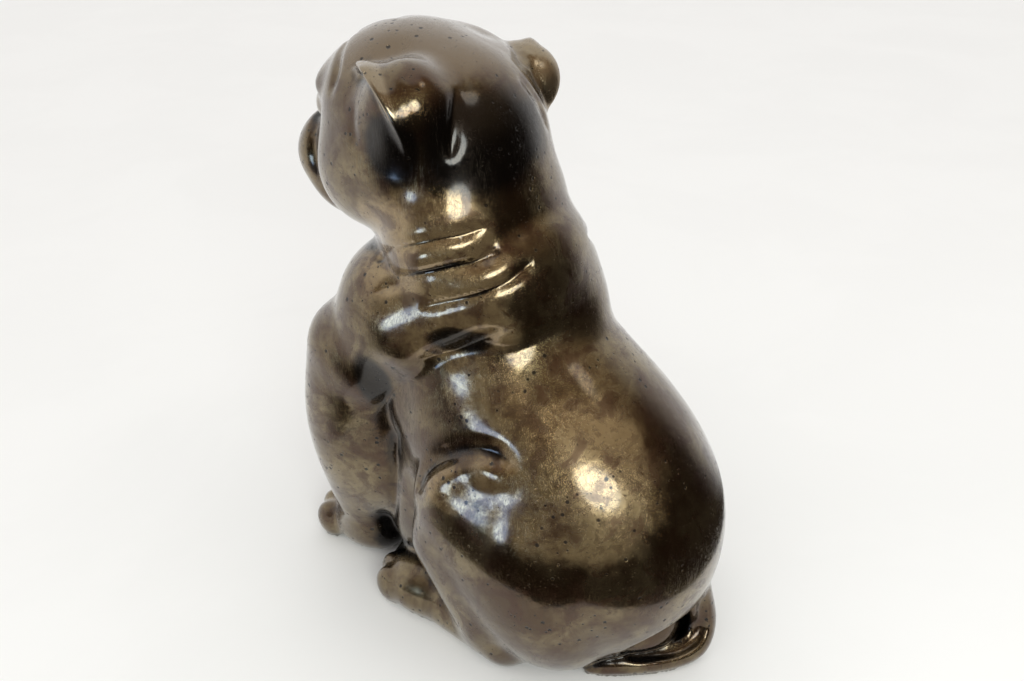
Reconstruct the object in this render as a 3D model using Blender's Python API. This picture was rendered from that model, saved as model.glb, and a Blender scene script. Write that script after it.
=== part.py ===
# Bronze bulldog figure: a seated puppy, cast in one piece, resting on its paws, feet and seat.
# The animal faces -Y, its left side is +X, and the floor under it is Z = 0.
# Sizes below are in parts of the figure, about 330 of them from sole to crown; the
# finished solid is brought to its height, length and width in metres at the end.
import bpy
import numpy as np

# Driving sizes
FIGURE_HEIGHT = 0.340      # metres, sole to crown
FIGURE_LENGTH = 0.270      # metres, forepaws to tail
FIGURE_WIDTH = 0.172       # metres, across the haunches
NET_STEP = 2.6             # spacing of the net laid over the skin
TRIANGLES = 9400           # triangles kept in the finished solid

# Head: where it sits, how it is turned, how large it is
HEAD_AT = (10.0, -55.5, 270.0)
HEAD_TURN = -5.0           # degrees, negative turns the nose to the animal's right
HEAD_NOD = -14.0           # degrees, negative lowers the nose
HEAD_TILT = -2.0           # degrees, negative lifts the left ear
SKULL_WIDTH = 112.0
SKULL_LENGTH = 114.0
SKULL_HEIGHT = 104.0
EYE_SIZE = 17.0
EYE_SPREAD = 48.0
NOSE_WIDTH = 33.0
FLEW_SPREAD = 40.0
EAR_LENGTH = 51.0
FAR_EAR_LENGTH = 43.0      # the right ear is folded shorter
EAR_REACH = 49.0
EAR_DEPTH = 15.0
EAR_LIP = 3.0
FAR_EAR_SHIFT = (-2.0, 0.0, 2.0)   # how far inward, back and down the right ear sits

# Trunk and limbs
RUMP_WIDTH = 144.0
RUMP_HEIGHT = 172.0
NECK_SWELL = 50.0          # skin bunched round the neck
LEFT_CAPE_AT = (13.0, -11.0, 211.0)     # where each cape leaves the nape
RIGHT_CAPE_AT = (5.0, -15.0, 208.0)
LEFT_CAPE_ROUND = 45.0
RIGHT_CAPE_ROUND = 42.0
ARM_ROUND = 28.5
ELBOW_ROUND = 24.0
WRIST_ROUND = 20.0
PAW_SPREAD = 76.0
FOOT_SPREAD = 108.0
TOE_WIDTH = 16.0
TAIL_ROOT_ROUND = 11.0
TAIL_TIP_ROUND = 6.0
FOLD_DEPTH = 4.0
FOLD_WIDTH = 2.3

REAL = np.float32


# Directions and curves

def turned(turn=0.0, nod=0.0, tilt=0.0):
    """Axes of a frame turned about Z, then nodded about X, then tilted about Y."""
    a, b, c = np.radians([turn, nod, tilt])
    about_z = np.array([[np.cos(a), -np.sin(a), 0], [np.sin(a), np.cos(a), 0], [0, 0, 1]])
    about_x = np.array([[1, 0, 0], [0, np.cos(b), -np.sin(b)], [0, np.sin(b), np.cos(b)]])
    about_y = np.array([[np.cos(c), 0, np.sin(c)], [0, 1, 0], [-np.sin(c), 0, np.cos(c)]])
    return (about_z @ about_x @ about_y).astype(REAL)


def flow(points, count):
    """A smooth curve through a few points, as count samples."""
    knots = np.asarray(points, float)
    padded = np.vstack([2 * knots[0] - knots[1], knots, 2 * knots[-1] - knots[-2]])
    samples = []
    for place in np.linspace(0, len(knots) - 1, count):
        start = min(int(place), len(knots) - 2)
        u = place - start
        p0, p1, p2, p3 = padded[start:start + 4]
        samples.append(0.5 * (2 * p1 + (p2 - p0) * u + (2 * p0 - 5 * p1 + 4 * p2 - p3) * u ** 2
                              + (3 * p1 - p0 - 3 * p2 + p3) * u ** 3))
    return np.array(samples, REAL)


def mirrored(points):
    """The same points seen from the other side of the animal."""
    flipped = points.copy()
    flipped[:, 0] = -flipped[:, 0]
    return flipped


# Distances to simple forms, negative inside

def ball(points, centre, radii, axes=None):
    """An ellipsoid."""
    offset = points - np.asarray(centre, REAL)
    if axes is not None:
        offset = offset @ axes
    scaled = offset / (np.asarray(radii, REAL) * np.ones(3, REAL))
    reach = np.sqrt((scaled * scaled).sum(-1)) + REAL(1e-6)
    slope = np.sqrt(((scaled / radii) ** 2).sum(-1)) + REAL(1e-9)
    return (reach * (reach - 1) / slope).astype(REAL)


def limb(points, start, end, start_round, end_round):
    """Two balls of different size joined by a straight tapering body."""
    start = np.asarray(start, REAL)
    axis = np.asarray(end, REAL) - start
    length = float(np.sqrt(axis @ axis))
    taper = (start_round - end_round) / length
    lean = np.sqrt(max(1 - taper * taper, 1e-6))
    offset = points - start
    along = offset @ (axis / length)
    across = np.sqrt(np.maximum((offset * offset).sum(-1) - along * along, 0))
    side = along * lean - across * taper
    body = across * lean + along * taper - start_round
    near_start = np.sqrt(across ** 2 + along ** 2) - start_round
    near_end = np.sqrt(across ** 2 + (along - length) ** 2) - end_round
    return np.where(side < 0, near_start, np.where(side > length * lean, near_end, body)).astype(REAL)


def join(first, second, blend):
    """Two forms grown together, with a fillet about as wide as blend."""
    overlap = np.maximum(blend - np.abs(first - second), 0) / blend
    return np.minimum(first, second) - overlap * overlap * (blend * 0.25)


def cut(form, tool, blend):
    """One form with another taken away, the edge eased by blend."""
    return -join(-form, tool, blend)


def both(shape, points, blend):
    """A form and its mirror image."""
    return join(shape(points), shape(mirrored(points)), blend)


def rope(points, curve, rounds, blend):
    """A limb that follows a curve."""
    form = limb(points, curve[0], curve[1], rounds[0], rounds[1])
    for i in range(1, len(curve) - 1):
        form = join(form, limb(points, curve[i], curve[i + 1], rounds[i], rounds[i + 1]), blend)
    return form


def near(points, curve, reach):
    """Which points lie inside the box round a curve."""
    low = np.min(curve, 0) - reach
    high = np.max(curve, 0) + reach
    return np.nonzero(((points > low) & (points < high)).all(-1))[0]


def groove(form, points, curve, width, depth, ease):
    """A soft line sunk into a form along a curve, fading out at its ends."""
    close = near(points, curve, 3 * width)
    if len(close) == 0:
        return form
    nearest = np.full(len(close), 1e9, REAL)
    share = np.zeros(len(close), REAL)
    for i in range(len(curve) - 1):
        step = curve[i + 1] - curve[i]
        part = np.clip(((points[close] - curve[i]) @ step) / (step @ step), 0, 1)
        gap = points[close] - curve[i] - part[:, None] * step
        distance = (gap * gap).sum(-1)
        closer = distance < nearest
        share = np.where(closer, (i + part) / (len(curve) - 1), share)
        nearest = np.minimum(nearest, distance)
    fade = np.clip(np.minimum(share, 1 - share) / max(ease, 1e-3), 0, 1)
    fade = fade * fade * (3 - 2 * fade)
    sunk = form.copy()
    sunk[close] += (depth * np.exp(-nearest / width ** 2) * fade).astype(REAL)
    return sunk


def dimple(form, points, centre, width, depth):
    """A soft round hollow."""
    offset = points - np.asarray(centre, REAL)
    return form + REAL(depth) * np.exp(-(offset * offset).sum(-1) / REAL(width ** 2))


def slope_of(shape, points, reach=0.4):
    """Which way a form grows at each point."""
    slope = np.empty_like(points)
    for axis in range(3):
        shift = np.zeros(3, REAL)
        shift[axis] = reach
        slope[:, axis] = (shape(points + shift) - shape(points - shift)) / (2 * reach)
    return slope


def settle(shape, points, rounds=3, limit=3.0):
    """Points drawn onto the skin of a form."""
    for _ in range(rounds):
        slope = slope_of(shape, points)
        steep = np.maximum((slope * slope).sum(-1), 0.05)
        points = points - np.clip(shape(points) / steep, -limit, limit)[:, None] * slope
    return points.astype(REAL)


def laid(shape, points, count=16):
    """A curve through a few points, set down on the skin of a form."""
    return settle(shape, flow(points, count), 6, 8.0)


# Trunk

def torso(points):
    """Rump, loin, ribs, belly, breast and neck."""
    form = ball(points, (0, 47, 74), (RUMP_WIDTH / 2, 75, RUMP_HEIGHT / 2))
    form = join(form, ball(points, (0, 4, 116), (62, 64, 80)), 40)
    form = join(form, ball(points, (0, -32, 145), (57, 54, 68)), 36)
    form = join(form, ball(points, (0, -34, 50), (47, 50, 66)), 22)
    form = join(form, ball(points, (0, 8, 12), (56, 52, 30)), 10)
    form = join(form, both(lambda p: ball(p, (34, -40, 66), (25, 36, 62)), points, 10), 12)
    form = join(form, ball(points, (0, -66, 146), (44, 38, 52)), 28)
    form = join(form, limb(points, (0, -58, 130), (0, -54, 20), 36, 34), 18)
    form = join(form, limb(points, (0, -30, 205), (3, -44, 255), 52, 47), 30)
    return join(form, ball(points, (14, -22, 236), (NECK_SWELL, 38, 54)), 16)


def cape(points, nape, nape_round):
    """Loose skin that hangs from the nape over one shoulder."""
    roll = limb(points, nape, (33, -44, 188), nape_round, 39.5)
    return join(roll, limb(points, (34, -50, 186), (50, -66, 160), 37, 28), 14)


def toes(form, points, centre_x, front_y, lean):
    """Four toes in a row, the outer two set back by lean."""
    for i in range(4):
        across = (i - 1.5) * TOE_WIDTH * 0.64
        back = lean if i in (0, 3) else 0.0
        toe = ball(points, (centre_x + across, front_y + back, 11), (TOE_WIDTH / 2, 11.5, 12))
        form = join(form, toe, 4)
    return form


ARM = flow([(51, -76, 160), (55, -84, 122), (54, -88, 94), (48, -90, 62), (42, -91, 34)], 9)
ARM_ROUNDS = np.interp(np.linspace(0, 1, 9), (0, 0.42, 0.6, 1), (ARM_ROUND, ELBOW_ROUND, 22.5, WRIST_ROUND))


def foreleg(points):
    """Upper arm, elbow, forearm and paw."""
    paw_x = PAW_SPREAD / 2
    form = rope(points, ARM, ARM_ROUNDS, 0.01)
    form = join(form, ball(points, (50, -68, 96), (16, 22, 46)), 16)
    form = join(form, ball(points, (paw_x, -98, 15), (21.5, 29, 18)), 12)
    return toes(form, points, paw_x, -125, 6)


def thigh(points):
    """Haunch, knee and shank of a folded hind leg."""
    form = ball(points, (46, 32, 74), (37, 54, 57), turned(nod=-18))
    form = join(form, ball(points, (54, 4, 96), (27, 30, 38)), 14)
    form = join(form, ball(points, (34, 52, 40), (38, 40, 44)), 20)
    return join(form, limb(points, (58, -4, 66), (60, 24, 24), 22, 18), 12)


def foot(points):
    """Hind foot lying forward along the floor."""
    foot_x = FOOT_SPREAD / 2
    form = limb(points, (foot_x + 3, 34, 15), (foot_x + 1, -28, 13), 18, 18)
    form = join(form, ball(points, (foot_x, -34, 14), (22, 21, 17)), 10)
    return toes(form, points, foot_x, -52, 6)


TAIL = flow([(-10, 94, 66), (-14, 104, 50), (-17, 109, 34), (-18, 113, 19),
             (-9, 115, 9), (6, 108, 7), (22, 95, 7), (36, 78, 5)], 24)


def tail(points):
    """Short tail that drops from the rump and curls round its foot."""
    rounds = np.r_[np.linspace(TAIL_ROOT_ROUND, 8, 10), np.linspace(7.8, TAIL_TIP_ROUND, 14)]
    return rope(points, TAIL, rounds, 4)


def trunk(points):
    """The whole animal below the head."""
    left_cape = cape(points, LEFT_CAPE_AT, LEFT_CAPE_ROUND)
    right_cape = cape(mirrored(points), RIGHT_CAPE_AT, RIGHT_CAPE_ROUND)
    form = join(torso(points), join(left_cape, right_cape, 20), 3)
    form = join(form, ball(points, (-10, -2, 188), (38, 38, 38)), 10)
    form = join(form, both(foreleg, points, 6), 7)
    armpit = both(lambda p: ball(p, (82, -34, 150), (16, 13, 24)), points, 1)
    form = cut(form, armpit, 12)
    form = join(form, both(thigh, points, 6), 4)
    form = join(form, both(foot, points, 6), 5)
    form = cut(form, ball(points, (10, 112, 24), (30, 17, 22), turned(turn=-30)), 2.5)
    form = join(form, ball(points, (6, 88, 22), (25, 20, 19), turned(turn=-25)), 2)
    return join(form, tail(points), 2)


# Head, measured in its own frame with the nose towards -Y

def skull(points):
    """Domed skull, heavy forehead and round cheeks."""
    form = ball(points, (0, 6, 4), (SKULL_WIDTH / 2, SKULL_LENGTH / 2, SKULL_HEIGHT / 2))
    form = join(form, ball(points, (0, -20, 22), (42, 33, 28)), 16)
    cheeks = both(lambda p: ball(p, (27, -9, -15), (25, 27, 27)), points, 10)
    behind_left_ear = ball(points, (34, 18, 32), (20, 22, 24))
    above_right_ear = ball(points, (-26, -4, 28), (23, 27, 23))
    form = join(join(form, cheeks, 13), behind_left_ear, 9)
    return join(form, above_right_ear, 7)


ROLL = flow([(-27, -50, -10), (-16, -56, 1), (0, -58, 6), (16, -56, 1), (27, -50, -10)], 14)
ROLL_ROUNDS = 2.0 + 2.6 * np.sin(np.linspace(0.15, np.pi - 0.15, len(ROLL)))


def muzzle(form, points):
    """Short muzzle with hanging flews, a roll over the nose, chin and jowls."""
    form = join(form, ball(points, (0, -34, -42), (36, 26, 18)), 10)
    form = join(form, ball(points, (0, -42, -20), (30, 24, 22)), 10)
    flew_x = FLEW_SPREAD / 2 + 0.5
    flews = both(lambda p: ball(p, (flew_x, -49, -26.5), (19, 18, 21), turned(tilt=-10)), points, 5)
    form = join(form, flews, 11)
    form = join(form, rope(points, ROLL, ROLL_ROUNDS, 0.1), 7)
    form = join(form, ball(points, (0, -58, -47), (15, 12, 10)), 5)
    wing_at = (NOSE_WIDTH * 0.29, -61, -10)
    nose_wings = both(lambda p: ball(p, wing_at, (NOSE_WIDTH * 0.24, 8.5, 7)), points, 2)
    nose = join(ball(points, (0, -61, -7), (NOSE_WIDTH * 0.34, 9, 8)), nose_wings, 3)
    return join(form, nose, 2.5)


def eye(form, points):
    """Socket, lids round an almond opening, and the eyeball."""
    eye_x = EYE_SPREAD / 2
    form = cut(form, ball(points, (eye_x, -57, 4), (13, 10, 10)), 6)
    lid = EYE_SIZE / 2 + 3
    form = join(form, ball(points, (eye_x, -43, 4), (lid + 0.5, lid, lid)), 5)
    form = cut(form, ball(points, (eye_x, -57, 3), (9.2, 12.5, 5.8), turned(tilt=8)), 1.2)
    return join(form, ball(points, (eye_x, -43, 4), (EYE_SIZE / 2 + 0.8,) * 3), 0.8)


def plain_head(points):
    """The head before its lines are carved."""
    brows = both(lambda p: ball(p, (21, -42, 20), (18, 9, 8), turned(tilt=14)), points, 8)
    form = muzzle(join(skull(points), brows, 9), points)
    for side in (points, mirrored(points)):
        form = eye(form, side)
        form = cut(form, ball(side, (NOSE_WIDTH * 0.24, -71, -10), (4.4, 5, 3.0), turned(tilt=-25)), 1.5)
    return form


# The ear is half a leaf standing off the skull, hollow towards the front
EAR_AT = (41.8, 10.7, 28.6)
EAR_LINE = np.array([-0.211, 0.686, -0.696])
EAR_FRONT = np.array([0.80, -0.30, -0.48])
EAR_RIDGE = flow([(32, 20, 40), (43, 13, 44.5), (54, 5, 47)], 6)


def ear_axes():
    """Along the rim, out from the skull, and towards the open front."""
    line = EAR_LINE / np.linalg.norm(EAR_LINE)
    front = EAR_FRONT - (EAR_FRONT @ line) * line
    front = front / np.linalg.norm(front)
    return np.stack([line, np.cross(front, line), front], 1).astype(REAL)


EAR_AXES = ear_axes()


def ear(points, length):
    """One ear; far away points only need a rough distance."""
    form = np.full(len(points), 30.0, REAL)
    close = near(points, np.array([(44.0, 14.0, 34.0)]), 40)
    local = (points[close] - np.array(EAR_AT, REAL)) @ EAR_AXES
    leaf = ball(local, (0, 0, 0), (length / 2, EAR_REACH / 2, EAR_DEPTH))
    leaf = join(leaf, rope(points[close], EAR_RIDGE, np.linspace(4, 2.6, 6), 2), 4)
    leaf = -join(-leaf, -local[:, 2], 2.0)
    shell = (length / 2 - EAR_LIP, EAR_REACH / 2 - EAR_LIP - 1.5, EAR_DEPTH * 0.53)
    form[close] = cut(leaf, ball(local, (0, 1.5, 2), shell), 1.5)
    return form


# Lines carved on the head: the curve, its width, its depth and the share over which its ends fade
MIDDLE_LINES = [
    (laid(plain_head, [(-34, -50, -50), (-22, -64, -48), (-10, -70, -41), (0, -69, -37),
                       (10, -70, -41), (22, -64, -48), (34, -50, -50)], 30), 2.6, 3.6, 0.2),
    (laid(plain_head, [(0, -68, -27), (0, -68, -31), (0, -69, -36)]), 2.6, 2.2, 0.3),
    (laid(plain_head, [(0, -60, 12), (0, -55, 26), (0, -42, 46), (0, -26, 57)]), 4.0, 2.0, 0.3),
]
SIDE_LINES = [
    (laid(plain_head, [(19, -57, -7), (31, -50, -12), (40, -42, -24), (43, -38, -38)]), 3.2, 2.4, 0.3),
    (laid(plain_head, [(13, -56, 10), (19, -56, 15), (29, -54, 15), (37, -46, 7)]), 2.2, 1.5, 0.3),
    (laid(plain_head, [(15, -56, -6), (24, -54, -9), (33, -48, -8), (39, -42, -1)]), 2.4, 1.3, 0.3),
    (laid(plain_head, [(9, -57, 20), (18, -50, 34), (22, -38, 46)]), 3.2, 1.8, 0.3),
    (laid(plain_head, [(20, -46, 40), (33, -36, 38), (43, -25, 33), (48, -19, 20)]), 2.6, 1.8, 0.3),
    (laid(plain_head, [(19, 32, 50), (28, 43, 37), (33, 50, 20)]), 3.2, 1.8, 0.3),
    (laid(plain_head, [(51, -2, 32), (53, 4, 22), (55, 11, 11)]), 3.2, 0.8, 0.3),
]
HEAD_AXES = turned(HEAD_TURN, HEAD_NOD, HEAD_TILT)


def head(points):
    """The head, from the animal's frame."""
    local = (points - np.array(HEAD_AT, REAL)) @ HEAD_AXES
    form = plain_head(local)
    for curve, width, depth, ease in MIDDLE_LINES:
        form = groove(form, local, curve, width, depth, ease)
    for side in (local, mirrored(local)):
        form = dimple(form, side, (29, -3, 52), 9, 2.2)
        for curve, width, depth, ease in SIDE_LINES:
            form = groove(form, side, curve, width, depth, ease)
    form = join(form, ear(local, EAR_LENGTH), 4)
    far_side = mirrored(local) + np.array(FAR_EAR_SHIFT, REAL)
    return join(form, ear(far_side, FAR_EAR_LENGTH), 4)


# Whole animal

def uncarved(points):
    """Trunk and head grown together."""
    return join(trunk(points), head(points), 5)


# Folds and rolls of the neck, the cape's lower edge, the knee's crease and roll, and the line behind the
# arm, on one side
NECK_FOLDS = [
    [(58, -53, 221), (65, -25, 238), (60, -6, 246), (50, 3, 248), (38, 10, 251)],
    [(68, -42, 210), (65, -30, 219), (62, -15, 227), (57, -1, 232), (49, 6, 234), (42, 12, 237),
     (36, 16, 239)],
    [(63, -16, 208), (59, -5, 213), (54, 7, 218), (48, 16, 222), (40, 22, 226), (33, 25, 230), (25, 26, 234)],
]
NECK_ROLLS = [
    [(66, -36, 219), (64, -12, 235), (52, 4, 240), (38, 12, 243)],
    [(66, -28, 210), (58, -5, 222), (48, 12, 227), (35, 21, 234)],
]
CAPE_EDGE = [(64, -24, 177), (57, -8, 181), (52, 2, 186), (47, 14, 196), (42, 22, 204)]
KNEE_CREASE = [(76, -12, 101), (75, -11, 111), (73, -8, 119), (68, 1, 129), (64, 16, 139), (61, 31, 142),
               (59, 48, 137)]
KNEE_ROLL = [(82, 4, 98), (79, 3, 112), (73, 8, 123), (67, 19, 130), (63, 36, 133), (62, 49, 129)]
ARM_LINE = [(62, -38, 131), (58, -47, 104), (58, -48, 83), (54, -53, 55), (46, -62, 34)]


def body_lines(shape):
    """Curves on one side of the body, each with its width, depth and fade; a negative depth swells."""
    lines = [(laid(shape, fold), FOLD_WIDTH * 1.6, FOLD_DEPTH * 0.75, 0.15) for fold in NECK_FOLDS]
    lines += [(laid(shape, roll), 7.0, -1.0, 0.35) for roll in NECK_ROLLS]
    lines.append((laid(shape, CAPE_EDGE), 6.0, 2.6, 0.35))
    lines.append((laid(shape, KNEE_CREASE), 5.0, 3.6, 0.18))
    lines.append((laid(shape, KNEE_ROLL), 9.0, -2.4, 0.35))
    lines.append((laid(shape, ARM_LINE), FOLD_WIDTH * 1.6, FOLD_DEPTH * 0.5, 0.25))
    return lines


LEFT_LINES = body_lines(uncarved)
RIGHT_LINES = body_lines(lambda points: uncarved(mirrored(points)))
TAIL_GAP = laid(uncarved, [(-11, 117, 46), (-10, 120, 30), (-5, 119, 19), (4, 114, 14),
                           (15, 105, 13), (28, 92, 13)], 20)


def animal(points):
    """The figure with the folds of its neck and flanks, cut level at the floor."""
    form = uncarved(points)
    for side, lines in ((points, LEFT_LINES), (mirrored(points), RIGHT_LINES)):
        for curve, width, depth, ease in lines:
            form = groove(form, side, curve, width, depth, ease)
    form = groove(form, points, TAIL_GAP, FOLD_WIDTH * 1.2, FOLD_DEPTH * 1.6, 0.15)
    return np.maximum(form, -points[:, 2])


# Net over the skin

ROOM_LOW = np.array([-110.0, -165.0, -4.0])
ROOM_HIGH = np.array([110.0, 150.0, 352.0])
COARSE = 4                 # net cells along one edge of a coarse cell
CORNERS = [(i, j, k) for i in (0, 1) for j in (0, 1) for k in (0, 1)]


def window(grid, corner, size):
    """The values at one corner of every cell."""
    i, j, k = corner
    return grid[i:i + size[0], j:j + size[1], k:k + size[2]]


def spread(grid):
    """Every value repeated over the net cells of its coarse cell."""
    return grid.repeat(COARSE, 0).repeat(COARSE, 1).repeat(COARSE, 2)


def sampled(shape, step):
    """The form's distance on a lattice, exact only in coarse cells that hold skin."""
    blocks = np.ceil((ROOM_HIGH - ROOM_LOW) / (step * COARSE)).astype(int)
    ticks = [ROOM_LOW[i] + step * COARSE * np.arange(blocks[i] + 1) for i in range(3)]
    coarse_points = np.stack(np.meshgrid(*ticks, indexing="ij"), -1).reshape(-1, 3).astype(REAL)
    coarse = shape(coarse_points).reshape(blocks + 1)
    close = np.abs(coarse) < step * COARSE * 1.5
    busy = np.zeros(blocks, bool)
    for corner in CORNERS:
        busy |= window(close, corner, blocks)
    fine = blocks * COARSE
    wanted = np.zeros(fine + 1, bool)
    for corner in CORNERS:
        window(wanted, corner, fine)[...] |= spread(busy)
    values = np.full(fine + 1, 99.0, REAL)
    values[:-1, :-1, :-1] = spread(np.sign(coarse[:-1, :-1, :-1])) * 99
    places = (np.argwhere(wanted) * step + ROOM_LOW).astype(REAL)
    chunks = [shape(places[i:i + 200000]) for i in range(0, len(places), 200000)]
    values[wanted] = np.concatenate(chunks)
    return values


def unpinched(values, step):
    """Lattice values with every pinch filled, so the skin never meets itself."""
    filled = values.copy()
    for _ in range(8):
        inside = filled < 0
        pinch = np.zeros(inside.shape, bool)
        for normal in range(3):
            sheet = np.moveaxis(inside, normal, 0)
            mark = np.moveaxis(pinch, normal, 0)
            a, b = sheet[:, :-1, :-1], sheet[:, 1:, :-1]
            c, d = sheet[:, :-1, 1:], sheet[:, 1:, 1:]
            mark[:, 1:, :-1] |= a & d & ~b & ~c
            mark[:, :-1, :-1] |= b & c & ~a & ~d
        size = np.array(inside.shape) - 1
        solid = sum(window(inside, corner, size).astype(int) for corner in CORNERS)
        for corner in CORNERS[:4]:
            opposite = tuple(1 - i for i in corner)
            beside = (1 - corner[0], corner[1], corner[2])
            here, there = window(inside, corner, size), window(inside, opposite, size)
            window(pinch, beside, size)[...] |= (solid == 2) & here & there
            window(pinch, corner, size)[...] |= (solid == 6) & ~here & ~there
        if not pinch.any():
            break
        filled[pinch] = -0.05 * step
    return filled


def cell_points(values, step):
    """One point in each cell the skin passes through, and the cells' numbers."""
    size = np.array(values.shape) - 1
    total = np.zeros((*size, 3), REAL)
    crossings = np.zeros(size, int)
    for axis in range(3):
        for corner in CORNERS:
            if corner[axis] == 1:
                continue
            other = tuple(1 if i == axis else corner[i] for i in range(3))
            here = window(values, corner, size)
            there = window(values, other, size)
            crossed = (here < 0) != (there < 0)
            place = np.tile(np.array(corner, REAL), (int(crossed.sum()), 1))
            place[:, axis] += here[crossed] / (here[crossed] - there[crossed])
            total[crossed] += place
            crossings[crossed] += 1
    active = crossings > 0
    numbers = np.full(size, -1)
    numbers[active] = np.arange(int(active.sum()))
    mean = total[active] / crossings[active][:, None]
    return (np.argwhere(active) + mean) * step + ROOM_LOW, numbers


def cell_faces(values, numbers):
    """A four-sided face across every lattice edge that the skin crosses."""
    inside = values < 0
    faces = []
    for axis in range(3):
        first, second = (axis + 1) % 3, (axis + 2) % 3
        low = np.take(inside, range(inside.shape[axis] - 1), axis)
        high = np.take(inside, range(1, inside.shape[axis]), axis)
        edges = np.argwhere(low != high)
        around = []
        for back_first, back_second in ((1, 1), (0, 1), (0, 0), (1, 0)):
            cell = edges.copy()
            cell[:, first] -= back_first
            cell[:, second] -= back_second
            around.append(numbers[cell[:, 0], cell[:, 1], cell[:, 2]])
        quads = np.stack(around, -1)
        outward = low[edges[:, 0], edges[:, 1], edges[:, 2]]
        quads[~outward] = quads[~outward][:, ::-1]
        faces.append(quads)
    return np.concatenate(faces)


def largest(points, faces):
    """The biggest connected skin, without stray specks."""
    label = np.arange(len(points))
    while True:
        lower = label.copy()
        np.minimum.at(lower, faces.ravel(), label[faces].min(1).repeat(4))
        lower = lower[lower]
        if (lower == label).all():
            break
        label = lower
    first = label[faces[:, 0]]
    home = np.bincount(first).argmax()
    used, numbers = np.unique(faces[first == home], return_inverse=True)
    return points[used], numbers.reshape(-1, 4)


def skin(shape, step):
    """Points and faces of the form's surface, with a level underside."""
    values = unpinched(sampled(shape, step), step)
    points, numbers = cell_points(values, step)
    points, faces = largest(points, cell_faces(values, numbers))
    points = points.astype(REAL)
    raised = points[:, 2] > step * 0.4
    points[raised] = settle(shape, points[raised], 2)
    points[~raised, 2] = 0.0
    return points, faces


# Finished solid

def bronze():
    """Dark polished bronze."""
    material = bpy.data.materials.new("bronze")
    material.use_nodes = True
    shader = material.node_tree.nodes["Principled BSDF"]
    shader.inputs["Base Color"].default_value = (0.16, 0.095, 0.045, 1.0)
    shader.inputs["Metallic"].default_value = 1.0
    shader.inputs["Roughness"].default_value = 0.28
    return material


def thinned(points, faces, triangles):
    """The skin with its flat and gently curved stretches told in fewer triangles."""
    mesh = bpy.data.meshes.new("full skin")
    mesh.from_pydata(points.tolist(), [], faces.tolist())
    full = bpy.data.objects.new("full skin", mesh)
    bpy.context.scene.collection.objects.link(full)
    split = full.modifiers.new("split faces", "TRIANGULATE")
    split.quad_method = "SHORTEST_DIAGONAL"
    fewer = full.modifiers.new("fewer triangles", "DECIMATE")
    fewer.ratio = triangles / (2 * len(faces))
    drawn = full.evaluated_get(bpy.context.evaluated_depsgraph_get())
    result = bpy.data.meshes.new_from_object(drawn)
    bpy.data.objects.remove(full)
    bpy.data.meshes.remove(mesh)
    return result


def placed(mesh):
    """The mesh at full size, centred over the floor and level under its paws."""
    corners = np.empty(len(mesh.vertices) * 3)
    mesh.vertices.foreach_get("co", corners)
    corners = corners.reshape(-1, 3)
    low = corners.min(0)
    high = corners.max(0)
    corners[corners[:, 2] < low[2] + NET_STEP * 0.15, 2] = low[2]
    centre = np.array([(low[0] + high[0]) / 2, (low[1] + high[1]) / 2, low[2]])
    sizes = np.array([FIGURE_WIDTH, FIGURE_LENGTH, FIGURE_HEIGHT])
    corners = (corners - centre) * (sizes / (high - low))
    mesh.vertices.foreach_set("co", corners.ravel())
    mesh.update()
    return mesh


def build():
    for thing in list(bpy.data.objects):
        bpy.data.objects.remove(thing)
    points, faces = skin(animal, NET_STEP)
    mesh = placed(thinned(points, faces, TRIANGLES))
    mesh.name = "bulldog_figure"
    figure = bpy.data.objects.new("bulldog_figure", mesh)
    bpy.context.scene.collection.objects.link(figure)
    figure.data.materials.append(bronze())


build()
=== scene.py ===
# Bronze bulldog puppy, seated and cast in one piece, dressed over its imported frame.
# It faces -Y, its left side is +X, the floor is Z = 0.
import bmesh
import bpy
import numpy as np
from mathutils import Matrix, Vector


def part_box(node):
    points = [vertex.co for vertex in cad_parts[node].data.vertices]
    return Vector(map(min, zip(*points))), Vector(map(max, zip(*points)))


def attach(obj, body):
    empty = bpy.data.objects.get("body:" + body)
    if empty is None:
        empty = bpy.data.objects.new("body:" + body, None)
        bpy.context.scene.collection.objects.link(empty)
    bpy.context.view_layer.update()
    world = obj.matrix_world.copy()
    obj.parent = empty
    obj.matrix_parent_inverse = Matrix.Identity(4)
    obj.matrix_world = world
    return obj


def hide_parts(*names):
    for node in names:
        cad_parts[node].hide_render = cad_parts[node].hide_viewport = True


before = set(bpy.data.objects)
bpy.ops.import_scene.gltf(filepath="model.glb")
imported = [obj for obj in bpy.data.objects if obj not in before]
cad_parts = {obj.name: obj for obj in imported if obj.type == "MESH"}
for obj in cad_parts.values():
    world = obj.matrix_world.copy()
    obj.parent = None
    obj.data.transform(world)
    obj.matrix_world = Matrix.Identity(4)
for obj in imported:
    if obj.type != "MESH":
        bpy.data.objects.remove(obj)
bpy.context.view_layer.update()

# The animal is modelled in parts, about 330 of them from sole to crown, and is
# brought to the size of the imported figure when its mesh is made.
puppy = {
    "netStep": 2.5,     # parts between the points of the first net
    "finerPasses": 2,     # how often the carved places are split again
    "mostTriangles": 192000,
    "leastBend": 0.42,                         # the skin is split again where it bends more
    "roomLow": (-100, -152, -4),               # the room that the net is laid in
    "roomHigh": (100, 140, 340),
}
real = np.float32
farOff = 30             # rough distance of points that a small form can't reach
pointsAtOnce = 150000


# directions and curves

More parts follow.
